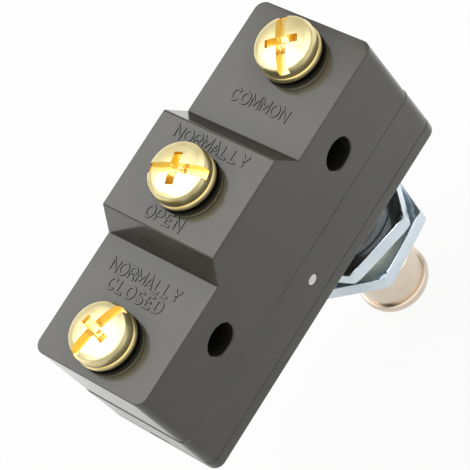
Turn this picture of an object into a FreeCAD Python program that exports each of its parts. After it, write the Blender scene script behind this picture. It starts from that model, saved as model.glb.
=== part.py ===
import FreeCAD, Part
import math
import os

# Panel mount plunger switch, millimetres.
# The origin is midway between the two mounting holes, at half the body's width.
# +Z points to the screw terminals, +X to the common terminal, and the plunger points down.

# Moulded body
BODY_LENGTH = 49.2
BODY_WIDTH = 17.45
HOLE_HEIGHT = 14.4             # mounting holes above the plunger side
LOW_FACE_HEIGHT = 20.4         # outer terminal faces above the plunger side
RAISED_FACE_HEIGHT = 24.2      # middle terminal face above the plunger side
RAISED_TOP_LENGTH = 13.1
RAISED_FOOT_LENGTH = 17.0
CORNER_RADIUS = 1.2
EDGE_BEVEL = 0.25
SKIRT_HEIGHT = 8.8             # the lower part of the case is slightly wider
SKIRT_STEP = 0.15
END_WALL = 2.2
SIDE_WALL = 1.8
CAVITY_HEIGHT = 10.0           # ceiling of the contact chamber above the plunger side
MOUNT_HOLE_SPACING = 25.4
MOUNT_HOLE_RADIUS = 2.1

# Cover on the plunger side
COVER_THICKNESS = 2.2
COVER_LIP_HEIGHT = 1.0
COVER_LIP_WALL = 0.8
COVER_FIT = 0.05
TAB_LENGTH = 6.0
TAB_THICKNESS = 1.5
TAB_HEIGHT = 4.4
LOCK_PIN_RADIUS = 0.72
LOCK_PIN_HEIGHT = 5.2          # above the plunger side
LOCK_PIN_FIT = 0.02
PRY_NOTCH_WIDTH = 3.0
PRY_NOTCH_DEPTH = 0.6
PRY_NOTCH_HEIGHT = 0.7

# Screw terminals
TERMINAL_INSET = 5.0           # outer screws from the ends of the body
BOSS_RADIUS = 3.1
BOSS_DEPTH = 7.6               # below the terminal face
LAND_HEIGHT = 0.6              # boss above the terminal face
STRIP_THICKNESS = 0.8
STRIP_WIDTH = 5.0
WASHER_RADIUS = 3.95
WASHER_THICKNESS = 0.8
WASHER_BORE_RADIUS = 2.2
SCREW_RADIUS = 2.0
SCREW_FIT = 0.05
SCREW_LENGTH = 7.0
SCREW_HEAD_RADIUS = 3.85
SCREW_HEAD_HEIGHT = 2.3
SCREW_HEAD_SIDE = 0.9
SCREW_CROWN_RADIUS = 3.0
SLOT_WIDTH = 0.95
SLOT_DEPTH = 1.1
CROSS_ARM_WIDTH = 1.05
CROSS_RADIUS = 1.8
CROSS_DEPTH = 1.7
COMMON_SLOT_ANGLE = 37.4
OPEN_SLOT_ANGLE = 103.7
CLOSED_SLOT_ANGLE = 150.2

# Contacts and snap blade, heights above the plunger side
CLOSED_FOOT_HEIGHT = 3.7
CONTACT_THICKNESS = 0.8
CONTACT_RADIUS = 1.7
CONTACT_OFFSET = 2.4           # contacts lie this far inwards of the outer terminal
MOVING_CONTACT_HEAD = 0.55
MOVING_CONTACT_RADIUS = 1.6
CONTACT_GAP = 0.5
CONTACT_CLEARANCE = 0.02
BLADE_THICKNESS = 0.25
BLADE_WIDTH = 6.0
BLADE_PLATE_LENGTH = 11.0
BLADE_OVERHANG = 2.0           # blade end beyond the moving contact
CENTRE_LEG_WIDTH = 2.2
SIDE_LEG_WIDTH = 1.4
SIDE_LEG_BOW = 1.0
ANCHOR_REACH = 12.2            # fork of the common terminal, inwards of its strip
ANCHOR_SLOT_LENGTH = 7.6
ANCHOR_SLOT_WIDTH = 2.8
ANCHOR_RIVET_OFFSET = 2.0
ANCHOR_RIVET_RADIUS = 0.8
ANCHOR_RIVET_HEAD_RADIUS = 1.3
ANCHOR_RIVET_HEAD = 0.4
CLOSED_STRIP_OFFSET = 1.6      # outwards of its boss centre
FOOT_OVERHANG = 1.8

# Threaded bushing and its nuts
PLUNGER_OFFSET = 10.65         # plunger axis from mid-length, on the common side
COLLAR_RADIUS = 7.65           # moulded collar under the cover, round the bushing
COLLAR_HEIGHT = 3.4
THREAD_RADIUS = 6.0
BUSHING_LENGTH = 15.2
BUSHING_END_CHAMFER = 0.6
SPIGOT_RADIUS = 4.8
CHAMBER_RADIUS = 4.0
CHAMBER_ROOF = 1.7             # guide wall at the inner end of the spring chamber
POCKET_DEPTH = 6.0             # the plunger's body slides up into the bushing's end
STEM_GUIDE_LENGTH = 1.0
STAKE_RADIUS = 5.6             # spigot's end, rolled over the inside of the cover
STAKE_THICKNESS = 0.7
NUT_ACROSS_FLATS = 17.0
NUT_THICKNESS = 2.35
NUT_FIT = 0.03
PANEL_GAP = 2.1                # space for the panel between the nuts
INNER_NUT_ANGLE = 47.3
OUTER_NUT_ANGLE = 4.8

# Plunger, actuator and springs
RUNNING_FIT = 0.05
STEM_RADIUS = 2.8
PLUNGER_RADIUS = 4.3
PLUNGER_LENGTH = 7.6           # thick body above the head
HEAD_UNDERSIDE = 22.9          # below the plunger side of the body
HEAD_RADIUS = 4.75
HEAD_EDGE_BEVEL = 0.35
HEAD_RIM_HEIGHT = 1.4
HEAD_CROWN_HEIGHT = 2.1
HEAD_CROWN_BREAK = (4.2, 1.2)  # radius, and drop below the rim, where the crown's slope changes
STEM_TAIL = 1.2                # stem above its retaining ring
RING_THICKNESS = 0.6
RING_RADIUS = 3.8
RING_GROOVE_RADIUS = 2.2
STEM_BORE_RADIUS = 1.75
STEM_BORE_FLOOR = 2.4          # metal left above the head's underside
ROD_RADIUS = 1.2
ROD_HEAD_RADIUS = 1.6
ROD_HEAD_THICKNESS = 0.8
PIN_RADIUS = 1.3
PIN_COLLAR_RADIUS = 2.2
PIN_COLLAR_THICKNESS = 0.7
PIN_COLLAR_GAP = 0.3
PIN_PROJECTION = 0.3           # pin below the plunger side of the body
RETURN_SPRING_RADIUS = 3.75
RETURN_SPRING_WIRE = 0.5
RETURN_SPRING_TURNS = 5
OVERTRAVEL_SPRING_RADIUS = 1.6
OVERTRAVEL_SPRING_WIRE = 0.3
OVERTRAVEL_SPRING_LENGTH = 7.4
OVERTRAVEL_SPRING_TURNS = 5
COIL_STEPS = 9                 # straight steps in a turn of either spring
COIL_SIDES = 4

# Tolerances for comparing lengths and places
TINY = 1e-6
NEAR = 1e-3

# Heights and places worked out from the values above
BASE_Z = -HOLE_HEIGHT
SEAM_Z = BASE_Z + COVER_THICKNESS
SKIRT_Z = BASE_Z + SKIRT_HEIGHT
CEILING_Z = BASE_Z + CAVITY_HEIGHT
LOW_FACE_Z = BASE_Z + LOW_FACE_HEIGHT
RAISED_FACE_Z = BASE_Z + RAISED_FACE_HEIGHT
HALF_LENGTH = BODY_LENGTH / 2
HALF_WIDTH = BODY_WIDTH / 2
CAVITY_X = HALF_LENGTH - END_WALL
TERMINAL_X = HALF_LENGTH - TERMINAL_INSET
CAVITY_Y = HALF_WIDTH - SIDE_WALL

TERMINAL_PLACES = (
    (TERMINAL_X, LOW_FACE_Z), (0.0, RAISED_FACE_Z), (-TERMINAL_X, LOW_FACE_Z),
)
CONTACT_X = -TERMINAL_X + CONTACT_OFFSET
CLOSED_FOOT_Z = BASE_Z + CLOSED_FOOT_HEIGHT
CLOSED_CONTACT_Z = CLOSED_FOOT_Z + STRIP_THICKNESS + CONTACT_THICKNESS
BLADE_Z = CLOSED_CONTACT_Z + CONTACT_CLEARANCE + MOVING_CONTACT_HEAD
BLADE_TOP_Z = BLADE_Z + BLADE_THICKNESS
OPEN_CONTACT_Z = BLADE_TOP_Z + MOVING_CONTACT_HEAD + CONTACT_GAP
OPEN_FOOT_Z = OPEN_CONTACT_Z + CONTACT_THICKNESS
ANCHOR_END_X = TERMINAL_X - ANCHOR_REACH
ANCHOR_RIVET_X = TERMINAL_X - ANCHOR_RIVET_OFFSET
BLADE_END_X = CONTACT_X - BLADE_OVERHANG

BUSHING_END_Z = BASE_Z - BUSHING_LENGTH
POCKET_ROOF_Z = BUSHING_END_Z + POCKET_DEPTH
SHOULDER_Z = POCKET_ROOF_Z + STEM_GUIDE_LENGTH
SPIGOT_TOP_Z = SEAM_Z + STAKE_THICKNESS
CHAMBER_TOP_Z = SPIGOT_TOP_Z - CHAMBER_ROOF
INNER_NUT_Z = BASE_Z - COLLAR_HEIGHT
OUTER_NUT_Z = INNER_NUT_Z - NUT_THICKNESS - PANEL_GAP
HEAD_Z = BASE_Z - HEAD_UNDERSIDE
PLUNGER_TOP_Z = HEAD_Z + PLUNGER_LENGTH
RING_TOP_Z = SHOULDER_Z + RING_THICKNESS
STEM_TOP_Z = RING_TOP_Z + STEM_TAIL
STEM_BORE_Z = HEAD_Z + STEM_BORE_FLOOR
ROD_FOOT_Z = STEM_BORE_Z + OVERTRAVEL_SPRING_LENGTH
PIN_FOOT_Z = BASE_Z - PIN_PROJECTION


def vec(x, y, z):
    """A point or direction."""
    return FreeCAD.Vector(x, y, z)


def block(x0, x1, y0, y1, z0, z1):
    """A box between two corners."""
    return Part.makeBox(x1 - x0, y1 - y0, z1 - z0, vec(x0, y0, z0))


def post(radius, z0, z1, x=0.0, y=0.0):
    """An upright cylinder from z0 to z1."""
    return Part.makeCylinder(radius, z1 - z0, vec(x, y, z0))


def cross_hole(radius, x, z, y0, y1):
    """A cylinder along Y from y0 to y1."""
    return Part.makeCylinder(radius, y1 - y0, vec(x, y0, z), vec(0, 1, 0))


def rounded_plate(length, width, radius, z0, z1):
    """A plate with rounded corners, centred on the Z axis."""
    hx, hy = length / 2, width / 2
    inset = radius * (1 - math.sqrt(0.5))
    edges = []
    for sx, sy, first_along_x in ((1, 1, False), (-1, 1, True), (-1, -1, False), (1, -1, True)):
        side = vec(sx * hx, sy * (hy - radius), z0)
        end = vec(sx * (hx - radius), sy * hy, z0)
        middle = vec(sx * (hx - inset), sy * (hy - inset), z0)
        start, stop = (end, side) if first_along_x else (side, end)
        edges.append(Part.Arc(start, middle, stop).toShape())
    corners = list(edges)
    for number, corner in enumerate(corners):
        following = corners[(number + 1) % len(corners)]
        edges.append(Part.makeLine(corner.lastVertex().Point, following.firstVertex().Point))
    wire = Part.Wire(Part.__sortEdges__(edges))
    return Part.Face(wire).extrude(vec(0, 0, z1 - z0))


def outline_edges(points):
    """Edges through (a, b) points, where a point with four numbers is an arc's middle and end."""
    edges = []
    here = points[0]
    for point in points[1:] + [points[0]]:
        if len(point) == 4:
            middle, there = point[:2], point[2:]
            edges.append(Part.Arc(*[vec(a, 0, b) for a, b in (here, middle, there)]).toShape())
        else:
            there = point
            if math.dist(here, there) > TINY:
                edges.append(Part.makeLine(vec(here[0], 0, here[1]), vec(there[0], 0, there[1])))
        here = there
    return edges


def turned(points, x=0.0):
    """A turned piece: an outline of radius and height, revolved about an upright axis."""
    face = Part.Face(Part.Wire(outline_edges(points)))
    solid = face.revolve(vec(0, 0, 0), vec(0, 0, 1), 360)
    solid.translate(vec(x, 0, 0))
    return solid


def folded(points, y0, y1):
    """A piece of constant section: an outline of X and height, carried along Y."""
    face = Part.Face(Part.Wire(outline_edges(points)))
    face.translate(vec(0, y0, 0))
    return face.extrude(vec(0, y1 - y0, 0))


def flat_face(corners):
    """A flat face through its corners."""
    return Part.Face(Part.makePolygon(corners + corners[:1]))


def coil(radius, wire, turns, z0, z1, x):
    """An open coil spring between two heights, its wire a helix of straight steps and flat sides."""
    low, high = z0 + wire / 2, z1 - wire / 2
    middle = radius - wire / 2
    steps = turns * COIL_STEPS
    rings = []
    for step in range(steps + 1):
        turn = 2 * math.pi * step / COIL_STEPS
        height = low + (high - low) * step / steps
        ring = []
        for side in range(COIL_SIDES):
            around = 2 * math.pi * side / COIL_SIDES
            reach = middle + wire / 2 * math.cos(around)
            z = height + wire / 2 * math.sin(around)
            ring.append(vec(x + reach * math.cos(turn), reach * math.sin(turn), z))
        rings.append(ring)
    faces = [flat_face(rings[0]), flat_face(rings[-1])]
    for here, there in zip(rings, rings[1:]):
        for side in range(COIL_SIDES):
            after = (side + 1) % COIL_SIDES
            faces.append(flat_face([here[side], here[after], there[after]]))
            faces.append(flat_face([here[side], there[after], there[side]]))
    return Part.Solid(Part.Shell(faces))


def save(name, shape):
    """Write one sub-part as a STEP file."""
    solids = shape.removeSplitter().Solids if shape.Solids else [Part.Solid(shape)]
    result = solids[0] if len(solids) == 1 else Part.makeCompound(solids)
    if not result.isValid():
        raise ValueError(name + " is not a valid solid")
    result.exportStep("parts/" + name + ".step")


def stepped_profile():
    """The side view of the case above its seam: low face, raised middle, low face."""
    foot, top = RAISED_FOOT_LENGTH / 2, RAISED_TOP_LENGTH / 2
    return [
        (-HALF_LENGTH, SEAM_Z), (HALF_LENGTH, SEAM_Z), (HALF_LENGTH, LOW_FACE_Z), (foot, LOW_FACE_Z),
        (top, RAISED_FACE_Z), (-top, RAISED_FACE_Z), (-foot, LOW_FACE_Z), (-HALF_LENGTH, LOW_FACE_Z),
    ]


def is_outer_top_edge(edge):
    """True for the edges round the terminal faces, apart from the inner corner at each riser's foot."""
    box = edge.BoundBox
    upright = box.XLength + box.YLength < TINY
    at_foot = box.XLength < TINY and abs(abs(box.Center.x) - RAISED_FOOT_LENGTH / 2) < NEAR
    return box.ZMin > LOW_FACE_Z - NEAR and not upright and not at_foot


def case_block():
    """The outer form of the case: stepped top, wider skirt, rounded corners and top edges."""
    upper_width = BODY_WIDTH - 2 * SKIRT_STEP
    upper = rounded_plate(BODY_LENGTH - 2 * SKIRT_STEP, upper_width, CORNER_RADIUS, SEAM_Z, RAISED_FACE_Z)
    upper = upper.common(folded(stepped_profile(), -BODY_WIDTH, BODY_WIDTH))
    upper = upper.makeChamfer(EDGE_BEVEL, [edge for edge in upper.Edges if is_outer_top_edge(edge)])
    skirt = rounded_plate(BODY_LENGTH, BODY_WIDTH, CORNER_RADIUS, SEAM_Z, SKIRT_Z)
    return upper.fuse(skirt)


def lock_pin_solids(fit=0.0):
    """The two pins that lock the cover's tabs to the case, one in each side wall."""
    depth = SIDE_WALL + COVER_FIT + TAB_THICKNESS
    z = BASE_Z + LOCK_PIN_HEIGHT
    radius = LOCK_PIN_RADIUS + fit
    return [
        cross_hole(radius, 0, z, -HALF_WIDTH, -HALF_WIDTH + depth),
        cross_hole(radius, 0, z, HALF_WIDTH - depth, HALF_WIDTH),
    ]


def make_case(terminals):
    """The case: contact chamber open to the cover, mounting holes, and seats moulded round the terminals."""
    case = case_block()
    case = case.cut(block(-CAVITY_X, CAVITY_X, -CAVITY_Y, CAVITY_Y, SEAM_Z, CEILING_Z))
    for side in (-1, 1):
        hole_x = side * MOUNT_HOLE_SPACING / 2
        case = case.cut(cross_hole(MOUNT_HOLE_RADIUS, hole_x, 0, -BODY_WIDTH, BODY_WIDTH))
    for pin in lock_pin_solids(LOCK_PIN_FIT):
        case = case.cut(pin)
    for x, face_z in TERMINAL_PLACES:
        case = case.cut(post(BOSS_RADIUS, face_z - BOSS_DEPTH, face_z + LAND_HEIGHT, x))
    for terminal in terminals:
        case = case.cut(terminal)
    return case


def make_cover():
    """The cover: a plate with a locating lip, two lock tabs, a pry notch and a collar for the bushing."""
    cover = rounded_plate(BODY_LENGTH, BODY_WIDTH, CORNER_RADIUS, BASE_Z, SEAM_Z)
    lip_x, lip_y = CAVITY_X - COVER_FIT, CAVITY_Y - COVER_FIT
    lip_top = SEAM_Z + COVER_LIP_HEIGHT
    lip = block(-lip_x, lip_x, -lip_y, lip_y, SEAM_Z, lip_top)
    inner_x, inner_y = lip_x - COVER_LIP_WALL, lip_y - COVER_LIP_WALL
    lip = lip.cut(block(-inner_x, inner_x, -inner_y, inner_y, SEAM_Z, lip_top))
    cover = cover.fuse(lip)
    tab_top = SEAM_Z + TAB_HEIGHT
    half_tab = TAB_LENGTH / 2
    cover = cover.fuse(block(-half_tab, half_tab, -lip_y, -lip_y + TAB_THICKNESS, SEAM_Z, tab_top))
    cover = cover.fuse(block(-half_tab, half_tab, lip_y - TAB_THICKNESS, lip_y, SEAM_Z, tab_top))
    for pin in lock_pin_solids(LOCK_PIN_FIT):
        cover = cover.cut(pin)
    cover = cover.fuse(post(COLLAR_RADIUS, INNER_NUT_Z, BASE_Z, PLUNGER_OFFSET))
    cover = cover.cut(post(SPIGOT_RADIUS + COVER_FIT, INNER_NUT_Z, SEAM_Z, PLUNGER_OFFSET))
    half_notch = PRY_NOTCH_WIDTH / 2
    notch = block(-HALF_LENGTH, -HALF_LENGTH + PRY_NOTCH_DEPTH, -half_notch, half_notch,
                  SEAM_Z - PRY_NOTCH_HEIGHT, SEAM_Z)
    return cover.cut(notch)


def terminal_boss(x, face_z):
    """The round threaded boss that a terminal screw goes into, its land just above the face."""
    land_z = face_z + LAND_HEIGHT
    boss = post(BOSS_RADIUS, face_z - BOSS_DEPTH, land_z, x)
    hole_floor = land_z + WASHER_THICKNESS - SCREW_LENGTH - SCREW_FIT
    return boss.cut(post(SCREW_RADIUS + SCREW_FIT, hole_floor, land_z, x))


def strip(x0, x1, z0, z1):
    """A stretch of terminal strip."""
    return block(x0, x1, -STRIP_WIDTH / 2, STRIP_WIDTH / 2, z0, z1)


def make_common_terminal():
    """The common terminal: boss, strip, and the forked foot that carries and anchors the snap blade."""
    x = TERMINAL_X
    half = STRIP_THICKNESS / 2
    foot_top = BLADE_TOP_Z + STRIP_THICKNESS
    terminal = terminal_boss(x, LOW_FACE_Z)
    terminal = terminal.fuse(strip(x - half, x + half, BLADE_TOP_Z, LOW_FACE_Z - BOSS_DEPTH))
    half_fork = BLADE_WIDTH / 2
    fork = block(ANCHOR_END_X, x + half, -half_fork, half_fork, BLADE_TOP_Z, foot_top)
    half_slot = ANCHOR_SLOT_WIDTH / 2
    slot_end = ANCHOR_END_X + ANCHOR_SLOT_LENGTH
    fork = fork.cut(block(ANCHOR_END_X, slot_end, -half_slot, half_slot, BLADE_TOP_Z, foot_top))
    terminal = terminal.fuse(fork)
    return terminal.cut(post(ANCHOR_RIVET_RADIUS, BLADE_TOP_Z, foot_top, ANCHOR_RIVET_X))


def make_open_terminal():
    """The normally open terminal: boss, strip, and a foot that reaches over the moving contact."""
    half = STRIP_THICKNESS / 2
    foot_top = OPEN_FOOT_Z + STRIP_THICKNESS
    terminal = terminal_boss(0, RAISED_FACE_Z)
    terminal = terminal.fuse(strip(-half, half, OPEN_FOOT_Z, RAISED_FACE_Z - BOSS_DEPTH))
    return terminal.fuse(strip(CONTACT_X - FOOT_OVERHANG, half, OPEN_FOOT_Z, foot_top))


def make_closed_terminal():
    """The normally closed terminal: boss, strip, and a foot that reaches under the moving contact."""
    x = -TERMINAL_X - CLOSED_STRIP_OFFSET
    half = STRIP_THICKNESS / 2
    foot_top = CLOSED_FOOT_Z + STRIP_THICKNESS
    terminal = terminal_boss(-TERMINAL_X, LOW_FACE_Z)
    terminal = terminal.fuse(strip(x - half, x + half, CLOSED_FOOT_Z, LOW_FACE_Z - BOSS_DEPTH))
    return terminal.fuse(strip(x - half, CONTACT_X + FOOT_OVERHANG, CLOSED_FOOT_Z, foot_top))


def make_washer(x, face_z):
    """The washer under a terminal screw's head."""
    z = face_z + LAND_HEIGHT
    washer = post(WASHER_RADIUS, z, z + WASHER_THICKNESS, x)
    return washer.cut(post(WASHER_BORE_RADIUS, z, z + WASHER_THICKNESS, x))


def make_screw(x, face_z, slot_angle):
    """A pan head terminal screw with a slot and a cross recess."""
    seat = face_z + LAND_HEIGHT + WASHER_THICKNESS
    top = seat + SCREW_HEAD_HEIGHT
    outline = [
        (0, seat - SCREW_LENGTH), (SCREW_RADIUS, seat - SCREW_LENGTH), (SCREW_RADIUS, seat),
        (SCREW_HEAD_RADIUS, seat), (SCREW_HEAD_RADIUS, seat + SCREW_HEAD_SIDE),
        (SCREW_CROWN_RADIUS, top), (0, top),
    ]
    screw = turned(outline)
    reach = SCREW_HEAD_RADIUS
    slot = block(-reach, reach, -SLOT_WIDTH / 2, SLOT_WIDTH / 2, top - SLOT_DEPTH, top)
    half_arm, arm_reach = CROSS_ARM_WIDTH / 2, CROSS_RADIUS
    arms = block(-arm_reach, arm_reach, -half_arm, half_arm, top - CROSS_DEPTH, top)
    arms = arms.fuse(block(-half_arm, half_arm, -arm_reach, arm_reach, top - CROSS_DEPTH, top))
    screw = screw.cut(slot).cut(arms)
    screw.rotate(vec(0, 0, 0), vec(0, 0, 1), slot_angle)
    screw.translate(vec(x, 0, 0))
    return screw


def make_fixed_contact(low_z):
    """A fixed contact: a round button welded to its terminal's foot."""
    return post(CONTACT_RADIUS, low_z, low_z + CONTACT_THICKNESS, CONTACT_X)


def make_moving_contact():
    """The moving contact: a double-faced button pressed into the free end of the blade."""
    low, high = BLADE_Z - MOVING_CONTACT_HEAD, BLADE_TOP_Z + MOVING_CONTACT_HEAD
    return post(MOVING_CONTACT_RADIUS, low, high, CONTACT_X)


def side_leg_outline(start_x):
    """A bowed leg from the blade's plate to the end of the fork, as a strip of even thickness."""
    tip_z = BLADE_TOP_Z + STRIP_THICKNESS / 2 - BLADE_THICKNESS / 2
    middle_x = (start_x + ANCHOR_END_X) / 2
    middle_z = (BLADE_Z + tip_z) / 2 + SIDE_LEG_BOW
    thick = BLADE_THICKNESS
    return [
        (start_x, BLADE_Z), (middle_x, middle_z, ANCHOR_END_X, tip_z), (ANCHOR_END_X, tip_z + thick),
        (middle_x, middle_z + thick, start_x, BLADE_Z + thick),
    ]


def make_snap_blade():
    """The snap blade: a contact plate, a flat centre leg in tension and two bowed side legs."""
    half = BLADE_WIDTH / 2
    plate_end = BLADE_END_X + BLADE_PLATE_LENGTH
    blade = block(BLADE_END_X, plate_end, -half, half, BLADE_Z, BLADE_TOP_Z)
    half_leg = CENTRE_LEG_WIDTH / 2
    leg_end = TERMINAL_X + STRIP_THICKNESS / 2
    blade = blade.fuse(block(plate_end, leg_end, -half_leg, half_leg, BLADE_Z, BLADE_TOP_Z))
    for y0 in (-half, half - SIDE_LEG_WIDTH):
        blade = blade.fuse(folded(side_leg_outline(plate_end), y0, y0 + SIDE_LEG_WIDTH))
    blade = blade.cut(post(MOVING_CONTACT_RADIUS, BLADE_Z, BLADE_TOP_Z, CONTACT_X))
    return blade.cut(post(ANCHOR_RIVET_RADIUS, BLADE_Z, BLADE_TOP_Z, ANCHOR_RIVET_X))


def make_anchor_rivet():
    """The rivet that holds the blade's centre leg under the common terminal's foot."""
    x = ANCHOR_RIVET_X
    foot_top = BLADE_TOP_Z + STRIP_THICKNESS
    rivet = post(ANCHOR_RIVET_HEAD_RADIUS, BLADE_Z - ANCHOR_RIVET_HEAD, BLADE_Z, x)
    rivet = rivet.fuse(post(ANCHOR_RIVET_RADIUS, BLADE_Z, foot_top, x))
    return rivet.fuse(post(ANCHOR_RIVET_HEAD_RADIUS, foot_top, foot_top + ANCHOR_RIVET_HEAD, x))


def make_bushing():
    """The bushing: threaded barrel, pocket for the plunger, staked spigot, spring chamber and two guides."""
    chamfer = BUSHING_END_CHAMFER
    pocket, stem_bore = PLUNGER_RADIUS + RUNNING_FIT, STEM_RADIUS + RUNNING_FIT
    pin_bore = PIN_RADIUS + RUNNING_FIT
    outline = [
        (pocket, BUSHING_END_Z), (THREAD_RADIUS - chamfer, BUSHING_END_Z),
        (THREAD_RADIUS, BUSHING_END_Z + chamfer), (THREAD_RADIUS, INNER_NUT_Z),
        (SPIGOT_RADIUS, INNER_NUT_Z), (SPIGOT_RADIUS, SEAM_Z), (STAKE_RADIUS, SEAM_Z),
        (SPIGOT_RADIUS, SPIGOT_TOP_Z),
        (pin_bore, SPIGOT_TOP_Z), (pin_bore, CHAMBER_TOP_Z),
        (CHAMBER_RADIUS, CHAMBER_TOP_Z), (CHAMBER_RADIUS, SHOULDER_Z), (stem_bore, SHOULDER_Z),
        (stem_bore, POCKET_ROOF_Z), (pocket, POCKET_ROOF_Z),
    ]
    return turned(outline, PLUNGER_OFFSET)


def make_nut(top_z, angle):
    """A thin hexagon nut on the bushing's thread."""
    corner_radius = NUT_ACROSS_FLATS / math.sqrt(3)
    corners = []
    for number in range(7):
        turn = math.radians(angle + 60 * number)
        corners.append(vec(corner_radius * math.cos(turn), corner_radius * math.sin(turn), top_z))
    nut = Part.Face(Part.makePolygon(corners)).extrude(vec(0, 0, -NUT_THICKNESS))
    nut = nut.cut(post(THREAD_RADIUS + NUT_FIT, top_z - NUT_THICKNESS, top_z))
    nut.translate(vec(PLUNGER_OFFSET, 0, 0))
    return nut


def make_plunger():
    """The plunger: beaded head, thick body, stem with a ring groove, and a blind bore for the inner spring."""
    edge = HEAD_EDGE_BEVEL
    rim_z = HEAD_Z - HEAD_RIM_HEIGHT
    break_r, break_drop = HEAD_CROWN_BREAK
    outline = [
        (0, rim_z - HEAD_CROWN_HEIGHT), (break_r, rim_z - break_drop), (HEAD_RADIUS, rim_z),
        (HEAD_RADIUS, HEAD_Z - edge), (HEAD_RADIUS - edge, HEAD_Z), (PLUNGER_RADIUS, HEAD_Z),
        (PLUNGER_RADIUS, PLUNGER_TOP_Z), (STEM_RADIUS, PLUNGER_TOP_Z),
        (STEM_RADIUS, SHOULDER_Z), (RING_GROOVE_RADIUS, SHOULDER_Z), (RING_GROOVE_RADIUS, RING_TOP_Z),
        (STEM_RADIUS, RING_TOP_Z), (STEM_RADIUS, STEM_TOP_Z), (STEM_BORE_RADIUS, STEM_TOP_Z),
        (STEM_BORE_RADIUS, STEM_BORE_Z), (0, STEM_BORE_Z),
    ]
    return turned(outline, PLUNGER_OFFSET)


def make_retaining_ring():
    """The ring in the stem's groove that stops the plunger at the bushing's shoulder."""
    ring = post(RING_RADIUS, SHOULDER_Z, RING_TOP_Z, PLUNGER_OFFSET)
    return ring.cut(post(RING_GROOVE_RADIUS, SHOULDER_Z, RING_TOP_Z, PLUNGER_OFFSET))


def make_actuator_rod():
    """The rod that carries the plunger's push from the inner spring to the switch pin."""
    neck_z = ROD_FOOT_Z + ROD_HEAD_THICKNESS
    head = post(ROD_HEAD_RADIUS, ROD_FOOT_Z, neck_z, PLUNGER_OFFSET)
    return head.fuse(post(ROD_RADIUS, neck_z, PIN_FOOT_Z, PLUNGER_OFFSET))


def make_switch_pin():
    """The moulded pin that presses the snap blade, with the collar that keeps it in the case."""
    collar_z = SPIGOT_TOP_Z + PIN_COLLAR_GAP
    pin = post(PIN_RADIUS, PIN_FOOT_Z, BLADE_Z - CONTACT_CLEARANCE, PLUNGER_OFFSET)
    return pin.fuse(post(PIN_COLLAR_RADIUS, collar_z, collar_z + PIN_COLLAR_THICKNESS, PLUNGER_OFFSET))


def build():
    """Make every sub-part and write it to the parts folder."""
    os.makedirs("parts", exist_ok=True)
    common = make_common_terminal()
    opened = make_open_terminal()
    closed = make_closed_terminal()
    sub_parts = {
        "case": make_case([common, opened, closed]),
        "base_cover": make_cover(),
        "cover_lock_pins": Part.makeCompound(lock_pin_solids()),
        "common_terminal": common,
        "normally_open_terminal": opened,
        "normally_closed_terminal": closed,
        "common_washer": make_washer(TERMINAL_X, LOW_FACE_Z),
        "normally_open_washer": make_washer(0, RAISED_FACE_Z),
        "normally_closed_washer": make_washer(-TERMINAL_X, LOW_FACE_Z),
        "common_screw": make_screw(TERMINAL_X, LOW_FACE_Z, COMMON_SLOT_ANGLE),
        "normally_open_screw": make_screw(0, RAISED_FACE_Z, OPEN_SLOT_ANGLE),
        "normally_closed_screw": make_screw(-TERMINAL_X, LOW_FACE_Z, CLOSED_SLOT_ANGLE),
        "normally_open_contact": make_fixed_contact(OPEN_CONTACT_Z),
        "normally_closed_contact": make_fixed_contact(CLOSED_CONTACT_Z - CONTACT_THICKNESS),
        "snap_blade": make_snap_blade(),
        "anchor_rivet": make_anchor_rivet(),
        "moving_contact": make_moving_contact(),
        "bushing": make_bushing(),
        "inner_nut": make_nut(INNER_NUT_Z, INNER_NUT_ANGLE),
        "outer_nut": make_nut(OUTER_NUT_Z, OUTER_NUT_ANGLE),
        "plunger": make_plunger(),
        "retaining_ring": make_retaining_ring(),
        "actuator_rod": make_actuator_rod(),
        "switch_pin": make_switch_pin(),
        "return_spring": coil(RETURN_SPRING_RADIUS, RETURN_SPRING_WIRE, RETURN_SPRING_TURNS,
                              RING_TOP_Z, CHAMBER_TOP_Z, PLUNGER_OFFSET),
        "overtravel_spring": coil(OVERTRAVEL_SPRING_RADIUS, OVERTRAVEL_SPRING_WIRE,
                                  OVERTRAVEL_SPRING_TURNS, STEM_BORE_Z, ROD_FOOT_Z, PLUNGER_OFFSET),
    }
    for name, shape in sub_parts.items():
        save(name, shape)


build()
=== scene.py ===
import logging
from collections.abc import Callable, Sequence
from dataclasses import dataclass
from enum import Enum
from functools import cache

import bmesh
import bpy
import numpy as np
from mathutils import Matrix, Vector
from mathutils.geometry import tessellate_polygon
from numpy.typing import NDArray


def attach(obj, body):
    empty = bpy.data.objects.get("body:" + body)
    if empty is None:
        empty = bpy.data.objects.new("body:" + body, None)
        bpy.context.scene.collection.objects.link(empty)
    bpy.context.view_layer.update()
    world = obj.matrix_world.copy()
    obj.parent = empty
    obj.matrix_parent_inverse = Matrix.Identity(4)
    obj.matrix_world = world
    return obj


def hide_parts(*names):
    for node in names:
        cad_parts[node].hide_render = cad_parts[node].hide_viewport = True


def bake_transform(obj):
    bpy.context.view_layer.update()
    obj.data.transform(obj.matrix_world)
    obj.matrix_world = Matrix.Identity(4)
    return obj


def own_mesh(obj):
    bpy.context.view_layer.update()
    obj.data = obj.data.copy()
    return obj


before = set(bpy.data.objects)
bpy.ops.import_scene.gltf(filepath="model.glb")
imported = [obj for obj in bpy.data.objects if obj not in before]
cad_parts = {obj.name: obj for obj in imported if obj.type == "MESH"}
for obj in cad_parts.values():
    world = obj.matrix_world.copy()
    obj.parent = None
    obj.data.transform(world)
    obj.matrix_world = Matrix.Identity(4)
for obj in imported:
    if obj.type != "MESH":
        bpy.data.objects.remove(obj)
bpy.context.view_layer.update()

# Panel mount plunger switch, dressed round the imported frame.
# Sizes are in millimetres in the row frame: +Z to the terminals, +X to the common terminal.

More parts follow.
